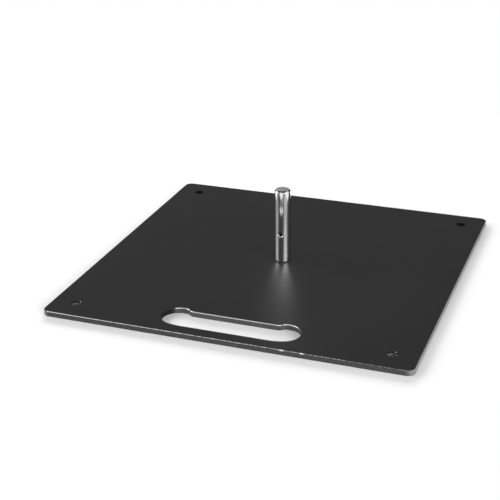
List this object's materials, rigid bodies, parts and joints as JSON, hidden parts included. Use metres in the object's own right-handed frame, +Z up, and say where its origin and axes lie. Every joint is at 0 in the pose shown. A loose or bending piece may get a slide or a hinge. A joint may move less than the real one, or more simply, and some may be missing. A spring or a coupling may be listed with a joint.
{
  "type": "weighted steel base plate with pin",
  "caption": "Square black steel floor plate with a carrying slot, corner holes and an upright chrome pin that a pole slides over.",
  "frame": {"origin": "middle of the plate's underside, on the floor; the pin's axis is 3 mm from it towards +Y", "axes": "+Z up along the pin, -Y towards the carrying slot, +X to the right when the slot is in front"},
  "size_m": [0.32, 0.32, 0.0743],
  "materials": {
    "plate_coating": "satin black powder coat on steel, finely grained",
    "pin_chrome": "bright chrome plate on turned steel",
    "screw_zinc": "bright zinc plate"
  },
  "bodies": {
    "root": {"base_plate": "plate_coating", "pin": "pin_chrome", "pin_screw": "screw_zinc"}
  },
  "joints": []
}
